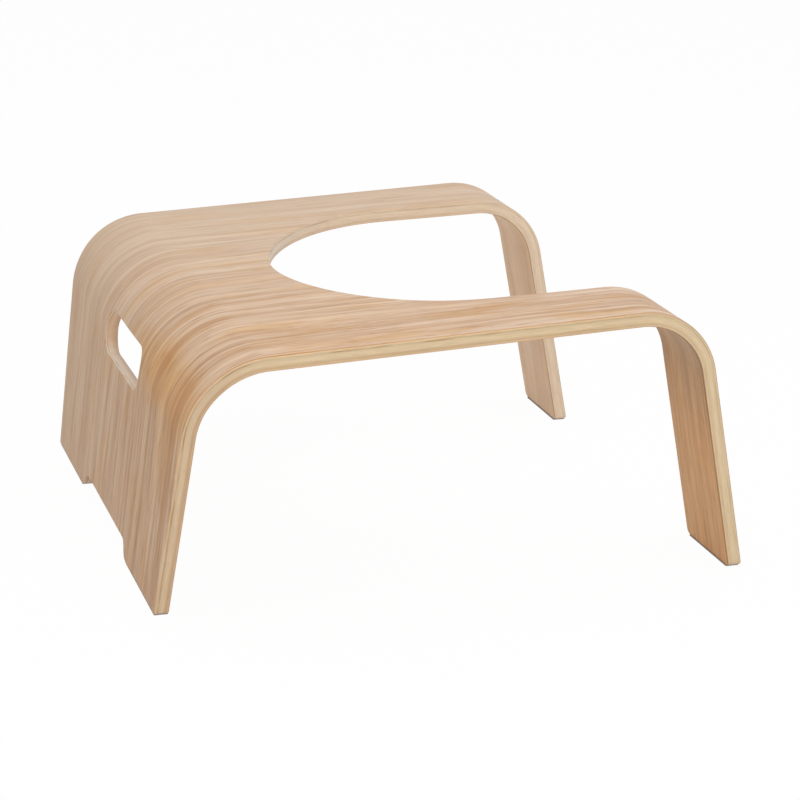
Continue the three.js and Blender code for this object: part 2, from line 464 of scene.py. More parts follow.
@dataclass(frozen=True)
class PanelCuts:
    """What is cut from the closed panel: its tapered sides, the arch between its feet and the hand hole.

    Lengths are in millimetres.
    """

    foot_inset: float = 23.0
    taper: float = math.radians(7.1)
    shoulder_radius: float = 250.0
    arch_width: float = 162.0
    arch_height: float = 13.0
    arch_side_angle: float = math.radians(60)
    arch_corner_radius: float = 10.0
    corner_radius: float = 2.5
    hole_length: float = 131.0
    hole_height: float = 34.4
    hole_centre: float = 143.2
    corner_steps: int = 8
    side_steps: int = 24
    hole_end_steps: int = 28

    def draw_arch(self, pen: ContourPen) -> None:
        """Draws the arch's right half, from its middle to the foot's level.

        Args:
            pen: The pen, at the arch's middle.
        """
        radius, angle = self.arch_corner_radius, self.arch_side_angle
        slant = Vector((math.cos(math.pi - angle), math.sin(math.pi - angle)))
        outwards = Vector((math.sin(angle), math.cos(angle)))
        middle = Vector((self.arch_width / 2, self.arch_height / 2))
        climb = (self.arch_height / 2 - radius * (1 - outwards.y)) / slant.y
        foot_centre = middle - slant * climb + outwards * radius
        top_centre = middle * 2 - foot_centre
        pen.line_to(top_centre.x, self.arch_height)
        pen.arc(top_centre.x, top_centre.y, -angle, self.corner_steps)
        pen.line_to(*(foot_centre - outwards * radius))
        pen.arc(foot_centre.x, foot_centre.y, angle, self.corner_steps)

    def draw_side(self, pen: ContourPen, profile: BoardProfile) -> None:
        """Draws the foot's outer corner and the tapered side, up to where the top starts.

        Args:
            pen: The pen, on the foot.
            profile: The board's side view.
        """
        half = profile.width / 2
        radius = self.corner_radius
        foot_half = half - self.foot_inset
        corner_x = foot_half + radius * math.tan(self.taper) - radius / math.cos(self.taper)
        pen.line_to(corner_x, 0)
        pen.arc(corner_x, radius, math.pi / 2 - self.taper, self.corner_steps)
        bend_height = profile.foot_height + self.foot_inset / math.tan(self.taper)
        rise = self.shoulder_radius * math.tan(self.taper / 2)
        start = bend_height - rise * math.cos(self.taper)
        end = profile.face(profile.top_start)[0].y
        for i in range(1, self.side_steps + 1):
            height = start + (end - start) * math.sin(math.pi / 2 * i / self.side_steps)
            below = bend_height + rise - height
            inset = self.shoulder_radius - math.sqrt(self.shoulder_radius**2 - below**2)
            pen.line_to(half - inset, profile.station_at_height(height))

    def draw_hole(self, pen: ContourPen, profile: BoardProfile) -> None:
        """Draws the hand hole's right half, from its top middle to its bottom middle.

        Args:
            pen: The pen, at the hole's top middle.
            profile: The board's side view.
        """
        radius = self.hole_height / 2
        straight = self.hole_length / 2 - radius
        first = len(pen.mesh.verts)
        pen.line_to(straight, self.hole_centre + radius)
        pen.arc(straight, self.hole_centre, -math.pi, self.hole_end_steps)
        pen.line_to(0, self.hole_centre - radius)
        pen.mesh.verts.ensure_lookup_table()
        for vert in pen.mesh.verts[first:]:
            vert.co.y = profile.station_square_to_panel(vert.co.y)


@dataclass(frozen=True)
class LegCuts:
    """What is cut from the top and the legs: the bowl cut and the feet's round corners.

    Lengths are in millimetres. The pulls are the handles of the bowl's curve, at its apex as a share of the
    cut's half width and at its side as a share of the round length.
    """

    bowl_width: float = 291.0
    apex_from_panel_foot: float = 141.6
    round_length: float = 135.0
    apex_pull: float = 0.397
    side_pull: float = 0.638
    corner_radius: float = 4.0
    corner_steps: int = 8
    cut_points: int = 41

    def draw_leg(self, pen: ContourPen, profile: BoardProfile) -> None:
        """Draws a leg: down its outer side, round its foot and up its inner side.

        Args:
            pen: The pen, on the board's side.
            profile: The board's side view.
        """
        radius = self.corner_radius
        outer, inner = profile.width / 2, self.bowl_width / 2
        pen.line_to(outer, profile.length - radius)
        pen.arc(outer - radius, profile.length - radius, math.pi / 2, self.corner_steps)
        pen.line_to(inner + radius, profile.length)
        pen.arc(inner + radius, profile.length - radius, math.pi / 2, self.corner_steps)

    def draw_bowl_cut(self, pen: ContourPen, profile: BoardProfile) -> None:
        """Draws the bowl cut's right half, from its straight side to its apex.

        Args:
            pen: The pen, on the leg's inner side.
            profile: The board's side view.
        """
        half = self.bowl_width / 2
        apex = profile.station_on_top(self.apex_from_panel_foot / math.cos(profile.slope))
        side = apex + self.round_length
        knots = (
            Vector((half, side)),
            Vector((half, side - self.round_length * self.side_pull)),
            Vector((half * self.apex_pull, apex)),
            Vector((0, apex)),
        )
        for point in interpolate_bezier(*knots, self.cut_points):
            pen.line_to(point.x, point.y)


@dataclass(frozen=True)
class Fade:
    """A strength that turns evenly from one value into another, and stays level before and after.

    Its start and end are places in the unbent board, in millimetres, or two levels of a pattern.
    """

    start: float
    end: float
    first: float = 0.0
    last: float = 1.0

    def inputs(self, value: Feed) -> dict[str, object]:
        """Gives what the node takes that turns a value into this strength."""
        spans = {"From Min": self.start, "From Max": self.end, "To Min": self.first, "To Max": self.last}
        return {"Value": value, **spans}


@dataclass(frozen=True)
class WoodPattern:
    """A stretched noise in the unbent board, faded into a strength between two levels of the noise.

    Its size is that of its widest marks across the board, along it and through it, in millimetres.
    """

    size: tuple[float, float, float]
    fade: Fade
    detail: float = 1.0
    roughness: float = 0.5

    def draw(self, tree: NodeTree, place: Feed) -> Node:
        """Adds the pattern to a material.

        Args:
            tree: The material's node tree.
            place: The place in the unbent board, in millimetres.

        Returns:
            The node that gives the strength.
        """
        scale = tuple(1 / length for length in self.size)
        stretched = add_node(tree, "ShaderNodeMapping", {"Vector": place, "Scale": scale})
        inputs = {"Vector": stretched, "Scale": 1.0, "Detail": self.detail, "Roughness": self.roughness}
        noise = add_node(tree, "ShaderNodeTexNoise", inputs)
        return add_node(tree, "ShaderNodeMapRange", self.fade.inputs(noise))


@dataclass(frozen=True)
class Finish:
    """A finish with one shader."""

    name: str

    def shader_inputs(self, tree: NodeTree) -> dict[str, object]:
        """Builds what feeds the shader."""
        raise NotImplementedError

    def material(self) -> Material:
        """Builds the finish's material.

        Returns:
            The material.
        """
        material = new_material(self.name)
        tree = material.node_tree
        surface = add_node(tree, "ShaderNodeBsdfPrincipled", self.shader_inputs(tree))
        add_node(tree, "ShaderNodeOutputMaterial", {"Surface": surface})
        return material


@dataclass(frozen=True)
class OakVeneerFinish(Finish):
    """Rift-cut oak face veneer under a thin matt lacquer.

    Its straight grain gives streaks along the board, pale pinkish ones between darker and yellower ones, with
    thin brown growth lines, short flecks and pores. The sheet's colour drifts across it, towards the closed
    panel's foot and along the right arm, and the hot press has browned it at a bend; on the inner veneer that
    spot is painted shade under the leg bend. Where the arris is sanded the wood shows browner at the panel's
    foot and the legs, and light and orange on the right side, partly sanded wood and partly a painted
    highlight; a brown line runs beside it on the face. Places are in millimetres in the unbent board, and the
    face's share is where the face lies through the layer.
    """

    pale: str
    warm: str
    panel: str
    arm: str
    toast_and_bend_shade: str
    streak: str
    # The arris colour on the right side: partly sanded wood, partly a painted highlight.
    arris: str
    face_share: float
    toast_and_shade_amount: float
    low_arris: str = "#b8946f"
    cut_arris: str = "#d8b088"
    leg_arris: str = "#96795a"
    growth: str = "#d3bda6"
    fleck: str = "#e2cbb2"
    pore: str = "#cfbaa4"
    patch: str = "#fbefd8"
    rim_line: str = "#e0c8aa"
    drift: WoodPattern = WoodPattern((120.0, 300.0, 120.0), Fade(0.0, 1.0, -11.0, 11.0))
    sheet_bands: WoodPattern = WoodPattern((30.0, 420.0, 30.0), Fade(0.35, 0.65, -0.2, 0.2))
    streaks: WoodPattern = WoodPattern((18.0, 650.0, 18.0), Fade(0.41, 0.60, 1.0, 0.0), 4.0, 0.9)
    rings: WoodPattern = WoodPattern((17.0, 900.0, 17.0), Fade(0.0, 1.0))
    ring_level: float = 0.5
    ring_line: Fade = Fade(0.004, 0.026, 1.0, 0.0)
    ring_strength: WoodPattern = WoodPattern((20.0, 140.0, 20.0), Fade(0.40, 0.62, 0.0, 0.6), 2.0)
    patches: WoodPattern = WoodPattern((18.0, 75.0, 18.0), Fade(0.48, 0.68))
    # Real flecks and pores are 0.1 to 0.4 mm wide. They are drawn coarser, because a pixel shows 0.8 mm.
    flecks: WoodPattern = WoodPattern((3.2, 60.0, 3.2), Fade(0.54, 0.72, 0.0, 0.6))
    pores: WoodPattern = WoodPattern((2.2, 18.0, 2.2), Fade(0.56, 0.70, 0.0, 0.4))
    across: Fade = Fade(-221.0, 221.0)
    side_contrast: Fade = Fade(-221.0, 221.0, 0.45, 1.1)
    top_contrast: Fade = Fade(130.0, 235.0, 1.0, 0.85)
    at_panel: Fade = Fade(130.0, 235.0, 0.55, 0.0)
    at_arm: Fade = Fade(300.0, 520.0)
    toast_and_shade_place: tuple[float, float, float] = (155.0, 160.0, 0.0)
    toast_and_shade_size: tuple[float, float, float] = (160.0, 32.0, 40.0)
    toast_and_shade_in_streaks: Fade = Fade(0.0, 1.0, 0.9, 1.6)
    # Where the arris shows its bright colour, which is partly a painted highlight on the right side.
    right_arris_highlight: Fade = Fade(146.0, 200.0)
    panel_arris: Fade = Fade(190.0, 150.0)
    legs_arris: Fade = Fade(505.0, 545.0)
    beside_rim: Fade = Fade(218.8, 220.2)
    sanded: Fade = Fade(0.55, 0.95, 0.0, 0.9)
    bump: float = 0.1
    relief: float = 0.2
    roughness: float = 0.6
    gloss: float = 0.3

    def _sheet(self, tree: NodeTree, place: Feed, streaks: Feed) -> Node:
        """Builds the sheet's slow colour change and the browned spot, which on the inner veneer is painted
        shade.

        Args:
            tree: The material's node tree.
            place: The place in the unbent board, with the grain's drift.
            streaks: How dark the grain is, which takes the browning and the painted shade more.

        Returns:
            The node that gives the colour.
        """
        parts = add_node(tree, "ShaderNodeSeparateXYZ", {"Vector": place}).outputs
        side = add_node(tree, "ShaderNodeMapRange", self.across.inputs(parts["X"]))
        shift = self.sheet_bands.draw(tree, place)
        warmth = add_node(tree, "ShaderNodeMath", {0: side, 1: shift}, operation="ADD", use_clamp=True)
        low = add_node(tree, "ShaderNodeMapRange", self.at_panel.inputs(parts["Y"]))
        along = add_node(tree, "ShaderNodeMapRange", self.at_arm.inputs(parts["Y"]))
        far_up = add_node(tree, "ShaderNodeMath", {0: side, 1: along}, operation="MULTIPLY")
        centre = tuple(-at / size for at, size in zip(self.toast_and_shade_place, self.toast_and_shade_size))
        scale = tuple(1 / size for size in self.toast_and_shade_size)
        local = add_node(tree, "ShaderNodeMapping", {"Vector": place, "Location": centre, "Scale": scale})
        spot = add_node(tree, "ShaderNodeTexGradient", {"Vector": local}, gradient_type="SPHERICAL")
        ragged = add_node(tree, "ShaderNodeMapRange", self.toast_and_shade_in_streaks.inputs(streaks))
        # The browned spot; on the inner veneer it is painted shade under the leg bend.
        toast_and_shade_share = add_node(tree, "ShaderNodeMath", {0: spot.outputs["Fac"], 1: ragged}, operation="MULTIPLY")
        toast_and_shade_share = add_node(tree, "ShaderNodeMath", {0: toast_and_shade_share, 1: self.toast_and_shade_amount}, operation="MINIMUM")
        washes = (
            Wash(warmth, self.warm),
            Wash(low, self.panel),
            Wash(far_up, self.arm),
            Wash(toast_and_shade_share, self.toast_and_bend_shade),
        )
        return lay_washes(tree, self.pale, washes)

    def _growth_lines(self, tree: NodeTree, place: Feed) -> Node:
        """Draws thin lines a few millimetres apart, where a slow noise crosses its middle value.

        Args:
            tree: The material's node tree.
            place: The place in the unbent board, with the grain's drift.

        Returns:
            The node that gives how strongly the line shows.
        """
        rings = self.rings.draw(tree, place)
        away = add_node(tree, "ShaderNodeMath", {0: rings, 1: self.ring_level}, operation="SUBTRACT")
        away = add_node(tree, "ShaderNodeMath", {0: away}, operation="ABSOLUTE")
        line = add_node(tree, "ShaderNodeMapRange", self.ring_line.inputs(away))
        some = self.ring_strength.draw(tree, place)
        return add_node(tree, "ShaderNodeMath", {0: line, 1: some}, operation="MULTIPLY")

    def _rim_line_and_arris_highlight(self, tree: NodeTree, place: Feed, face: Feed) -> Node:
        """Draws the brown line near the board's sides, and the sanded arris in the veneer's thickness.

        On the right side the arris colour is partly a painted highlight.

        Args:
            tree: The material's node tree.
            place: The place in the unbent board.
            face: The face's colour.

        Returns:
            The node that gives the colour with its rim.
        """
        parts = add_node(tree, "ShaderNodeSeparateXYZ", {"Vector": place}).outputs
        spots = (
            (parts["X"], self.right_arris_highlight, self.arris),
            (parts["Y"], self.panel_arris, self.low_arris),
            (parts["Y"], self.legs_arris, self.leg_arris),
        )
        washes = []
        for at, fade, tint in spots:
            washes.append(Wash(add_node(tree, "ShaderNodeMapRange", fade.inputs(at)), tint))
        arris = lay_washes(tree, self.cut_arris, washes)
        reach = add_node(tree, "ShaderNodeMath", {0: parts["X"]}, operation="ABSOLUTE")
        beside = add_node(tree, "ShaderNodeMapRange", self.beside_rim.inputs(reach))
        share = add_node(tree, "ShaderNodeAttribute", attribute_name=LAYER_SHARE).outputs["Fac"]
        inside = add_node(tree, "ShaderNodeMath", {0: share, 1: self.face_share}, operation="SUBTRACT")
        inside = add_node(tree, "ShaderNodeMath", {0: inside}, operation="ABSOLUTE")
        # The arris colour covers the rounded part of the veneer's thickness; on the right side it is partly a
        # painted highlight.
        sanded = add_node(tree, "ShaderNodeMapRange", self.sanded.inputs(inside))
        return lay_washes(tree, face, (Wash(beside, self.rim_line, "MULTIPLY"), Wash(sanded, arris)))

    def shader_inputs(self, tree: NodeTree) -> dict[str, object]:
        """Builds what feeds the veneer's shader.

        Args:
            tree: The material's node tree.

        Returns:
            What feeds each of the shader's inputs.
        """
        place = add_node(tree, "ShaderNodeAttribute", attribute_name=BOARD_PLACE).outputs["Vector"]
        offset = add_node(tree, "ShaderNodeCombineXYZ", {"X": self.drift.draw(tree, place)})
        wavy = add_node(tree, "ShaderNodeVectorMath", {0: place, 1: offset}, operation="ADD")
        streaks = self.streaks.draw(tree, wavy)
        parts = add_node(tree, "ShaderNodeSeparateXYZ", {"Vector": place}).outputs
        contrast = add_node(tree, "ShaderNodeMapRange", self.side_contrast.inputs(parts["X"]))
        softer = add_node(tree, "ShaderNodeMapRange", self.top_contrast.inputs(parts["Y"]))
        contrast = add_node(tree, "ShaderNodeMath", {0: contrast, 1: softer}, operation="MULTIPLY")
        marks = (
            (streaks, self.streak),
            (self._growth_lines(tree, wavy), self.growth),
            (self.patches.draw(tree, wavy), self.patch),
            (self.flecks.draw(tree, wavy), self.fleck),
            (self.pores.draw(tree, wavy), self.pore),
        )
        washes = []
        for strength, tint in marks:
            share = add_node(tree, "ShaderNodeMath", {0: strength, 1: contrast}, operation="MULTIPLY")
            washes.append(Wash(share, tint, "MULTIPLY"))
        wood = lay_washes(tree, self._sheet(tree, wavy, streaks), washes)
        height = {"Height": streaks, "Strength": self.bump, "Distance": self.relief * MM}
        return {
            "Base Color": self._rim_line_and_arris_highlight(tree, place, wood),
            "Roughness": self.roughness,
            "Specular IOR Level": self.gloss,
            "Normal": add_node(tree, "ShaderNodeBump", height),
        }


@dataclass(frozen=True)
class PlyEdgeFinish(Finish):
    """Rotary-cut birch core ply, seen only at the board's sanded edges.

    Through the thickness the plies run from a dark, broken glue line under the outer veneer over pale wood
    to a browner band near the inner face, weaker in the cuts inside the board and in the legs. End grain is
    paler and shows short streaks, and side grain shows long ones. The cuts inside the board are pinker than
    its right side and the hand hole's walls yellower. Painted shade darkens the closed panel's edges and the
    hand hole's end walls where they face sideways. Depths of the bands are in millimetres below the outer
    face.
    are in millimetres below the outer face.
    """

    wood: str
    streaks: WoodPattern
    inner_cut: str = "#dec8ae"
    hole_cut: str = "#dbc0a0"
    end_grain: str = "#e9dccc"
    # Painted shade, multiplied over the closed panel's sideways-facing edges and the hand hole's end walls.
    panel: str = "#f5f1f3"
    bands: tuple[tuple[float, str], ...] = (
        (1.2, "#fff8ee"),
        (1.8, "#d9c8b2"),
        (2.2, "#c6b69f"),
        (2.7, "#e6dccd"),
        (3.3, "#ffffff"),
        (6.6, "#fffcf8"),
        (7.5, "#f6f0ea"),
        (8.3, "#ebdfd6"),
        (8.9, "#eaded5"),
        (9.6, "#f5ece2"),
        (10.4, "#f3eae0"),
    )
    thickness: float = 10.9
    broken: WoodPattern = WoodPattern((30.0, 30.0, 3.0), Fade(0.42, 0.6, 0.35, 1.0), 2.0)
    below_glue: Fade = Fade(2.7, 3.5)
    cut_contrast: Fade = Fade(146.0, 200.0, 0.65, 1.0)
    leg_contrast: Fade = Fade(490.0, 550.0, 1.0, 0.55)
    right_side: Fade = Fade(146.0, 200.0)
    at_panel: Fade = Fade(185.0, 240.0, 1.0, 0.0)
    sideways: Fade = Fade(0.3, 0.9)
    roughness: float = 0.6
    gloss: float = 0.3

    def _wood(self, tree: NodeTree, across: Feed, along: Feed) -> Node:
        """Builds the wood's slow colour changes over the board, and painted shade on the closed panel's
        sideways edges.

        Args:
            tree: The material's node tree.
            across: The place across the board.
            along: The station along the board.

        Returns:
            The node that gives the colour.
        """
        right = add_node(tree, "ShaderNodeMapRange", self.right_side.inputs(across))
        low = add_node(tree, "ShaderNodeMapRange", self.at_panel.inputs(along))
        normal = add_node(tree, "ShaderNodeNewGeometry").outputs["Normal"]
        facing = add_node(tree, "ShaderNodeSeparateXYZ", {"Vector": normal}).outputs["X"]
        facing = add_node(tree, "ShaderNodeMath", {0: facing}, operation="ABSOLUTE")
        sideways = add_node(tree, "ShaderNodeMapRange", self.sideways.inputs(facing))
        cut = lay_washes(tree, self.inner_cut, [Wash(low, self.hole_cut)])
        # Painted shade: darkens the closed panel's edges that face sideways, and the hand hole's end walls.
        shade = add_node(tree, "ShaderNodeMath", {0: sideways, 1: low}, operation="MULTIPLY")
        washes = (Wash(sideways, cut), Wash(right, self.wood), Wash(shade, self.panel, "MULTIPLY"))
        return lay_washes(tree, self.end_grain, washes)

    def _bands(self, tree: NodeTree, depth: Feed) -> Node:
        """Builds the tints through the thickness.

        Args:
            tree: The material's node tree.
            depth: The depth below the outer face.

        Returns:
            The node that gives the tint.
        """
        share = add_node(tree, "ShaderNodeMapRange", Fade(0.0, self.thickness).inputs(depth))
        bands = add_node(tree, "ShaderNodeValToRGB", {"Fac": share})
        stops = bands.color_ramp.elements
        for at, tint in self.bands:
            stops.new(at / self.thickness).color = linear_colour(tint)
        stops.remove(stops[0])
        stops.remove(stops[-1])
        return bands

    def shader_inputs(self, tree: NodeTree) -> dict[str, object]:
        """Builds what feeds the ply's shader.

        Args:
            tree: The material's node tree.

        Returns:
            What feeds each of the shader's inputs.
        """
        place = add_node(tree, "ShaderNodeAttribute", attribute_name=BOARD_PLACE).outputs["Vector"]
        parts = add_node(tree, "ShaderNodeSeparateXYZ", {"Vector": place}).outputs
        below = add_node(tree, "ShaderNodeMapRange", self.below_glue.inputs(parts["Z"]))
        unbroken = {0: self.broken.draw(tree, place), 1: below}
        share = add_node(tree, "ShaderNodeMath", unbroken, operation="MAXIMUM")
        for at, fade in ((parts["X"], self.cut_contrast), (parts["Y"], self.leg_contrast)):
            contrast = add_node(tree, "ShaderNodeMapRange", fade.inputs(at))
            share = add_node(tree, "ShaderNodeMath", {0: share, 1: contrast}, operation="MULTIPLY")
        wood = self._wood(tree, parts["X"], parts["Y"])
        banded = lay_washes(tree, wood, [Wash(share, self._bands(tree, parts["Z"]), "MULTIPLY")])
        grain = {"Value": self.streaks.draw(tree, place), "Color": banded}
        return {
            "Base Color": add_node(tree, "ShaderNodeHueSaturation", grain),
            "Roughness": self.roughness,
            "Specular IOR Level": self.gloss,
        }


@dataclass(frozen=True)
class FootPadFinish(Finish):
    """Die-cut grey foam rubber: matt, with a fine closed-cell grain."""

    name: str = "foam_rubber_pad"
    colour: str = "#aba09a"
    shade: str = "#8f857f"
    # Real cells are 0.1 to 0.3 mm wide. They are drawn coarser, because a pixel shows 0.8 mm.
    cell: float = 0.8
    detail: float = 2.0
    bump: float = 0.3
    relief: float = 0.2
    roughness: float = 0.9

    def shader_inputs(self, tree: NodeTree) -> dict[str, object]:
        """Builds what feeds the pad's shader.

        Args:
            tree: The material's node tree.

        Returns:
            What feeds each of the shader's inputs.
        """
        place = add_node(tree, "ShaderNodeTexCoord").outputs["Object"]
        inputs = {"Vector": place, "Scale": 1 / (self.cell * MM), "Detail": self.detail}
        cells = add_node(tree, "ShaderNodeTexNoise", inputs)
        height = {"Height": cells, "Strength": self.bump, "Distance": self.relief * MM}
        return {
            "Base Color": lay_washes(tree, self.shade, [Wash(cells, self.colour)]),
            "Roughness": self.roughness,
            "Normal": add_node(tree, "ShaderNodeBump", height),
        }


@dataclass(frozen=True)
class Layer:
    """A layer of the pressed board: the node it stands for, what it is and its place in the thickness."""

    node: str
    role: LayerRole
    outer_depth: float
    inner_depth: float


def place_piece(mesh: BMesh, name: str, node: str, material: Material) -> Object:
    """Makes a finished piece that stands for a node.

    Args:
        mesh: The piece's shape in the bench's frame, in metres. It is freed.
        name: The piece's name.
        node: The node it stands for.
        material: The piece's material.

    Returns:
        The piece.
    """
    bmesh.ops.recalc_face_normals(mesh, faces=mesh.faces)
    piece = mesh_object(mesh, name, material)
    piece.data.shade_smooth()
    piece.data.set_sharp_from_angle(angle=SMOOTH_ANGLE)
    weighted = piece.modifiers.new("flat_faces_keep_their_normals", "WEIGHTED_NORMAL")
    weighted.keep_sharp = True
    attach(piece, "root")
    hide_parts(node)
    return piece


@dataclass(frozen=True)
class BentBoard:
    """The pressed board: veneers and plies glued into one sheet, bent, cut out and rounded at its arrises.

    Lengths are in millimetres.
    """

    profile: BoardProfile
    panel: PanelCuts
    legs: LegCuts
    face_veneer: float = 0.6
    glue_line: float = 0.1
    core_plies: int = 5
    seam: float = 0.01
    cut_tolerance: float = 1e-4
    arris_radius: float = 0.6
    arris_steps: int = 4
    hole_radius: float = 1.4
    lane_width: float = 22.0

    def layers(self) -> Iterator[Layer]:
        """Gives the layers from the outer face inwards, each grown to the middle of its glue lines.

        Yields:
            One layer after another.
        """
        core = self.profile.thickness - 2 * self.face_veneer - (self.core_plies + 1) * self.glue_line
        ply = core / self.core_plies
        rows = [("outer_face_veneer", LayerRole.OUTER_VENEER, self.face_veneer)]
        for i in range(1, self.core_plies + 1):
            rows.append((f"core_ply_{i}", LayerRole.CROSS_PLY if i % 2 else LayerRole.LONG_PLY, ply))
        rows.append(("inner_face_veneer", LayerRole.INNER_VENEER, self.face_veneer))
        depth = 0.0
        grown = (self.glue_line - self.seam) / 2
        for node, role, thickness in rows:
            outer = max(depth - grown, 0.0)
            inner = min(depth + thickness + grown, self.profile.thickness)
            yield Layer(node, role, outer, inner)
            depth += thickness + self.glue_line

    def half_outline(self) -> BMesh:
        """Draws the right half of the unbent board as one flat face at depth zero.

        Returns:
            The half board.
        """
        mesh = bmesh.new()
        pen = ContourPen.start(mesh, 0, self.panel.arch_height)
        first = pen.tip
        self.panel.draw_arch(pen)
        self.panel.draw_side(pen, self.profile)
        self.legs.draw_leg(pen, self.profile)
        self.legs.draw_bowl_cut(pen, self.profile)
        pen.line_to(0, self.panel.hole_centre + self.panel.hole_height / 2)
        self.panel.draw_hole(pen, self.profile)
        pen.close(first)
        bmesh.ops.contextual_create(mesh, geom=mesh.edges)
        bmesh.ops.recalc_face_normals(mesh, faces=mesh.faces)
        return mesh

    def blank(self) -> BMesh:
        """Makes the whole unbent board in its full thickness, with its arrises rounded.

        Returns:
            The board, in millimetres: x, station and minus the depth.
        """
        mesh = self.half_outline()
        if mesh.faces[:][0].normal.z < 0:
            bmesh.ops.reverse_faces(mesh, faces=mesh.faces)
        made = bmesh.ops.extrude_face_region(mesh, geom=mesh.faces[:], use_keep_orig=True)["geom"]
        moved = [v for v in made if isinstance(v, BMVert)]
        bmesh.ops.translate(mesh, verts=moved, vec=(0, 0, -self.profile.thickness))
        middle = [f for f in mesh.faces if all(abs(v.co.x) < self.seam for v in f.verts)]
        bmesh.ops.delete(mesh, geom=middle, context="FACES_ONLY")
        unturned = Matrix.Identity(4)
        bmesh.ops.mirror(mesh, geom=everything(mesh), matrix=unturned, merge_dist=self.seam, axis="X")
        bmesh.ops.recalc_face_normals(mesh, faces=mesh.faces)
        for radius, of_hole in ((self.hole_radius, True), (self.arris_radius, False)):
            mesh.normal_update()
            rims = [e for e in mesh.edges if is_rim(e) and self._is_of_hole(e) == of_hole]
            round_edges(mesh, rims, radius, self.arris_steps, slide=True)
        return mesh

    def _is_of_hole(self, edge: BMEdge) -> bool:
        """Tells whether an edge lies within half the hand hole's length of its centre."""
        reach = self.panel.hole_length / 2 + self.seam
        return all(math.hypot(v.co.x, v.co.y - self.panel.hole_centre) < reach for v in edge.verts)

    def _cut_at_depth(self, mesh: BMesh, depth: float, keep_below: bool) -> None:
        """Cuts the board parallel to its faces and closes the cut.

        Args:
            mesh: The unbent board.
            depth: Where the cut is.
            keep_below: True to keep what lies deeper.
        """
        bmesh.ops.bisect_plane(
            mesh,
            geom=everything(mesh),
            dist=self.cut_tolerance,
            plane_co=(0, 0, -depth),
            plane_no=(0, 0, 1),
            clear_outer=keep_below,
            clear_inner=not keep_below,
        )
        opened = [e for e in mesh.edges if e.is_boundary]
        bmesh.ops.triangle_fill(mesh, use_beauty=True, use_dissolve=False, edges=opened, normal=(0, 0, 1))

    def cut_layer(self, blank: BMesh, layer: Layer) -> BMesh:
        """Cuts one layer out of the unbent board and divides it where the press bends and crowns it.

        Args:
            blank: The whole unbent board.
            layer: The layer.

        Returns:
            The unbent layer.
        """
        mesh = blank.copy()
        if layer.outer_depth > 0:
            self._cut_at_depth(mesh, layer.outer_depth, keep_below=True)
        if layer.inner_depth < self.profile.thickness:
            self._cut_at_depth(mesh, layer.inner_depth, keep_below=False)
        lanes = math.floor(self.profile.width / 2 / self.lane_width)
        cuts = [((0, station, 0), (0, 1, 0)) for station in self.profile.stations()]
        cuts += [((i * self.lane_width, 0, 0), (1, 0, 0)) for i in range(-lanes, lanes + 1)]
        for place, normal in cuts:
            whole = everything(mesh)
            bmesh.ops.bisect_plane(mesh, geom=whole, dist=self.cut_tolerance, plane_co=place, plane_no=normal)
        return mesh

    def bend(self, mesh: BMesh, layer: Layer) -> None:
        """Keeps each point's place in the unbent board as an attribute, and bends the layer.

        Args:
            mesh: The unbent layer.
            layer: The layer's place in the thickness.
        """
        board_place = mesh.verts.layers.float_vector.new(BOARD_PLACE)
        share = mesh.verts.layers.float.new(LAYER_SHARE)
        thickness = layer.inner_depth - layer.outer_depth
        for vert in mesh.verts:
            x, s, depth = vert.co.x, vert.co.y, -vert.co.z
            vert[board_place] = Vector((x, s, depth))
            vert[share] = (depth - layer.outer_depth) / thickness
            vert.co = self.profile.bent(x, s, depth)

    def build(self, finishes: dict[LayerRole, Material]) -> Iterator[Object]:
        """Builds every layer.

        Args:
            finishes: The material of each kind of layer.

        Yields:
            One layer's piece after another.
        """
        blank = self.blank()
        for layer in self.layers():
            mesh = self.cut_layer(blank, layer)
            self.bend(mesh, layer)
            yield place_piece(mesh, f"bent_{layer.node}", layer.node, finishes[layer.role])
        blank.free()


@dataclass(frozen=True)
class FootPads:
    """The four thin pads that the bench stands on, trimmed flush with the wood's faces.

    Lengths are in millimetres. A reach is how far a pad goes past its node's box on each side, in X, Y and Z.
    """

    panel_nodes: tuple[str, ...] = ("panel_pad_right", "panel_pad_left")
    leg_nodes: tuple[str, ...] = ("leg_pad_right", "leg_pad_left")
    panel_reach: tuple[float, float, float] = (0.3, 0.8, 0.0)
    leg_reach: tuple[float, float, float] = (-1.4, 0.8, 0.0)
    corner_radius: float = 0.8
    corner_steps: int = 5
    edge_radius: float = 0.2
    edge_steps: int = 2

    def build(self, material: Material) -> Iterator[Object]:
        """Builds the pads, each in its node's place.

        Args:
            material: The pads' material.

        Yields:
            One pad after another.
        """
        for node in self.panel_nodes + self.leg_nodes:
            reach = self.leg_reach if node in self.leg_nodes else self.panel_reach
            low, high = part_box(node)
            mesh = bmesh.new()
            bmesh.ops.create_cube(mesh, size=1.0)
            bmesh.ops.scale(mesh, verts=mesh.verts, vec=high - low + Vector(reach) * 2 * MM)
            bmesh.ops.translate(mesh, verts=mesh.verts, vec=(low + high) / 2)
            corners = [e for e in mesh.edges if self._is_upright(e)]
            round_edges(mesh, corners, self.corner_radius * MM, self.corner_steps, slide=False)
            rims = [e for e in mesh.edges if is_rim(e)]
            round_edges(mesh, rims, self.edge_radius * MM, self.edge_steps, slide=False)
            yield place_piece(mesh, f"foam_{node}", node, material)

    @staticmethod
    def _is_upright(edge: BMEdge) -> bool:
        """Tells whether an edge stands upright."""
        first, second = (v.co for v in edge.verts)
        return abs(first.z - second.z) > (first.xy - second.xy).length


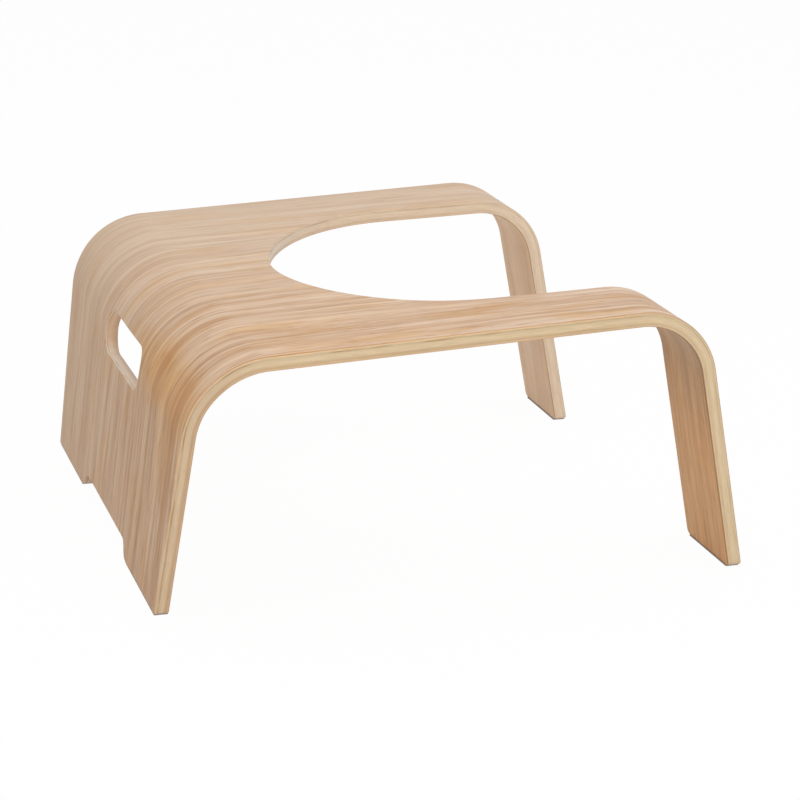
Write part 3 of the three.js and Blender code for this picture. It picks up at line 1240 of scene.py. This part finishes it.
@dataclass(frozen=True)
class BenchCamera:
    """The camera, at the viewing angle that was fitted to the bench.

    Lengths are in millimetres, and the clipping distances in metres.
    """

    target: tuple[float, float, float] = (0.0, 1.6, 99.3)
    azimuth: float = math.radians(72.523)
    elevation: float = math.radians(17.654)
    roll: float = math.radians(0.932)
    distance: float = 1913.5
    focal_pixels: float = 2339.2
    centre_pixels: tuple[float, float] = (378.25, 382.35)
    frame_pixels: float = 800.0
    sensor: float = 36.0
    clip: tuple[float, float] = (0.05, 50.0)

    def build(self) -> None:
        """Makes the camera and sets it as the scene's."""
        level = Vector((math.cos(self.azimuth), math.sin(self.azimuth), 0.0))
        back = Vector(
            (
                math.sin(self.azimuth) * math.cos(self.elevation),
                -math.cos(self.azimuth) * math.cos(self.elevation),
                math.sin(self.elevation),
            )
        )
        rise = back.cross(level)
        right = level * math.cos(self.roll) + rise * math.sin(self.roll)
        up = back.cross(right)
        data = bpy.data.cameras.new("photo_camera")
        data.sensor_width = self.sensor
        data.lens = self.focal_pixels / self.frame_pixels * self.sensor
        data.shift_x = (self.frame_pixels / 2 - self.centre_pixels[0]) / self.frame_pixels
        data.shift_y = (self.centre_pixels[1] - self.frame_pixels / 2) / self.frame_pixels
        data.clip_start, data.clip_end = self.clip
        camera = new_object("photo_camera", data)
        turned = Matrix((right, up, back)).transposed().to_4x4()
        camera.matrix_world = Matrix.Translation((Vector(self.target) + back * self.distance) * MM) @ turned
        bpy.context.scene.camera = camera


@dataclass(frozen=True)
class SoftBox:
    """One square white area lamp that looks at a point. Lengths are in metres."""

    name: str
    place: tuple[float, float, float]
    target: tuple[float, float, float]
    size: float
    power: float

    def build(self) -> None:
        """Makes the lamp."""
        data = bpy.data.lights.new(self.name, "AREA")
        data.shape = "SQUARE"
        data.size = self.size
        data.energy = self.power
        aim = Vector(self.target) - Vector(self.place)
        turned = aim.to_track_quat("-Z", "Y").to_matrix().to_4x4()
        new_object(self.name, data).matrix_world = Matrix.Translation(self.place) @ turned


@dataclass(frozen=True)
class Studio:
    """A pale floor that runs out of sight under plain soft light, with a white background.

    Lengths are in metres.
    """

    floor_size: float = 6.0
    floor_drop: float = 0.0001
    floor_colour: str = "#f2f0ee"
    floor_glow: float = 0.97
    mottle_scale: float = 9.0
    mottle_detail: float = 2.0
    mottle: Fade = Fade(0.0, 1.0, 0.85, 0.95)
    background: str = "#ffffff"
    sky: Fade = Fade(0.0, 1.0, 0.52, 1.0)
    lamps: tuple[SoftBox, ...] = (
        SoftBox("overhead_softbox", (0.3, 0.0, 2.2), (0.0, 0.0, 0.1), 2.4, 23.5),
        SoftBox("side_softbox", (2.4, -0.3, 0.8), (0.0, 0.0, 0.1), 1.6, 20.0),
    )

    @staticmethod
    def _seen_ray(tree: NodeTree) -> Node:
        """Tells the rays that show the background from those that light the bench.

        Args:
            tree: The node tree of the floor's material or the world.

        Returns:
            The node that gives 1 for camera, glossy and transmission rays, and 0 for the others.
        """
        path = add_node(tree, "ShaderNodeLightPath").outputs
        seen = path["Is Camera Ray"]
        for ray in ("Is Glossy Ray", "Is Transmission Ray"):
            seen = add_node(tree, "ShaderNodeMath", {0: seen, 1: path[ray]}, operation="MAXIMUM")
        return seen

    def _floor_material(self) -> Material:
        """Builds the floor's matt paint, which looks white to the camera and keeps shadows.

        Returns:
            The material.
        """
        material = new_material("matt_floor_paint")
        tree = material.node_tree
        place = add_node(tree, "ShaderNodeTexCoord").outputs["Object"]
        inputs = {"Vector": place, "Scale": self.mottle_scale, "Detail": self.mottle_detail}
        mottled = add_node(tree, "ShaderNodeTexNoise", inputs)
        rough = add_node(tree, "ShaderNodeMapRange", self.mottle.inputs(mottled))
        inputs = {"Base Color": self.floor_colour, "Roughness": rough, "Specular IOR Level": 0.0}
        paint = add_node(tree, "ShaderNodeBsdfPrincipled", inputs)
        glow = add_node(tree, "ShaderNodeEmission", {"Color": self.background, "Strength": 1.0})
        inputs = {0: self._seen_ray(tree), 1: self.floor_glow}
        seen = add_node(tree, "ShaderNodeMath", inputs, operation="MULTIPLY")
        mixed = add_node(tree, "ShaderNodeMixShader", {0: seen, 1: paint, 2: glow})
        add_node(tree, "ShaderNodeOutputMaterial", {"Surface": mixed})
        return material

    def _build_floor(self) -> None:
        """Makes the floor."""
        mesh = bmesh.new()
        bmesh.ops.create_grid(mesh, x_segments=1, y_segments=1, size=self.floor_size / 2)
        bmesh.ops.translate(mesh, verts=mesh.verts, vec=(0, 0, -self.floor_drop))
        floor = mesh_object(mesh, "studio_floor", self._floor_material())

    def _build_world(self) -> None:
        """Makes the world: even light on the bench, and plain white to the camera."""
        world = bpy.data.worlds.new("studio_world")
        world.use_nodes = True
        tree = world.node_tree
        tree.nodes.clear()
        strength = add_node(tree, "ShaderNodeMapRange", self.sky.inputs(self._seen_ray(tree)))
        sky = add_node(tree, "ShaderNodeBackground", {"Color": self.background, "Strength": strength})
        add_node(tree, "ShaderNodeOutputWorld", {"Surface": sky})
        bpy.context.scene.world = world

    def build(self) -> None:
        """Makes the floor, the world and the lamps, and sets the plain view transform."""
        self._build_floor()
        self._build_world()
        for lamp in self.lamps:
            lamp.build()
        bpy.context.scene.view_settings.view_transform = "Standard"


OUTER_VENEER = OakVeneerFinish(
    name="oak_outer_veneer",
    pale="#d9c2ab",
    warm="#e2c6ab",
    panel="#d3b393",
    arm="#e2cab4",
    toast_and_bend_shade="#dcad73",
    streak="#deccba",
    arris="#ffdcb0",
    face_share=0.0,
    toast_and_shade_amount=0.75,
)
INNER_VENEER = OakVeneerFinish(
    name="oak_inner_veneer",
    pale="#eed4b8",
    warm="#e2b686",
    panel="#e2b686",
    arm="#e2b686",
    # Painted shade: this spot darkens the legs' inner face under the leg bend.
    toast_and_bend_shade="#c1a484",
    streak="#d9cfc8",
    arris="#d2a985",
    face_share=1.0,
    toast_and_shade_amount=0.9,
    sanded=Fade(0.08, 0.3, 0.0, 0.9),
    side_contrast=Fade(-221.0, 221.0, 0.35, 0.8),
    # Where the painted shade lies: the near leg's inner face at the leg bend.
    toast_and_shade_place=(200.0, 560.0, 0.0),
    toast_and_shade_size=(200.0, 110.0, 60.0),
)
# Birch fibres are under 0.1 mm wide. The widest streaks are 0.6 mm thick, because a pixel shows 0.8 mm.
LONG_PLY = PlyEdgeFinish(
    name="birch_long_ply",
    wood="#d2bb98",
    streaks=WoodPattern((40.0, 40.0, 0.6), Fade(0.35, 0.65, 0.88, 1.09), 4.0, 0.65),
)
CROSS_PLY = PlyEdgeFinish(
    name="birch_cross_ply",
    wood="#d4be9c",
    streaks=WoodPattern((12.0, 12.0, 0.6), Fade(0.35, 0.65, 0.88, 1.09), 4.0, 0.65),
)


def main() -> None:
    """Builds the bench's looks and the studio, and reports each piece."""
    logging.basicConfig(level=logging.INFO, format="%(name)s: %(message)s")
    BenchCamera().build()
    Studio().build()
    finishes = {
        LayerRole.OUTER_VENEER: OUTER_VENEER.material(),
        LayerRole.INNER_VENEER: INNER_VENEER.material(),
        LayerRole.LONG_PLY: LONG_PLY.material(),
        LayerRole.CROSS_PLY: CROSS_PLY.material(),
    }
    board = BentBoard(BoardProfile(), PanelCuts(), LegCuts())
    for pieces in (board.build(finishes), FootPads().build(FootPadFinish().material())):
        for piece in pieces:
            log.info("%s: %d faces", piece.name, len(piece.data.polygons))


if __name__ == "__main__":
    main()
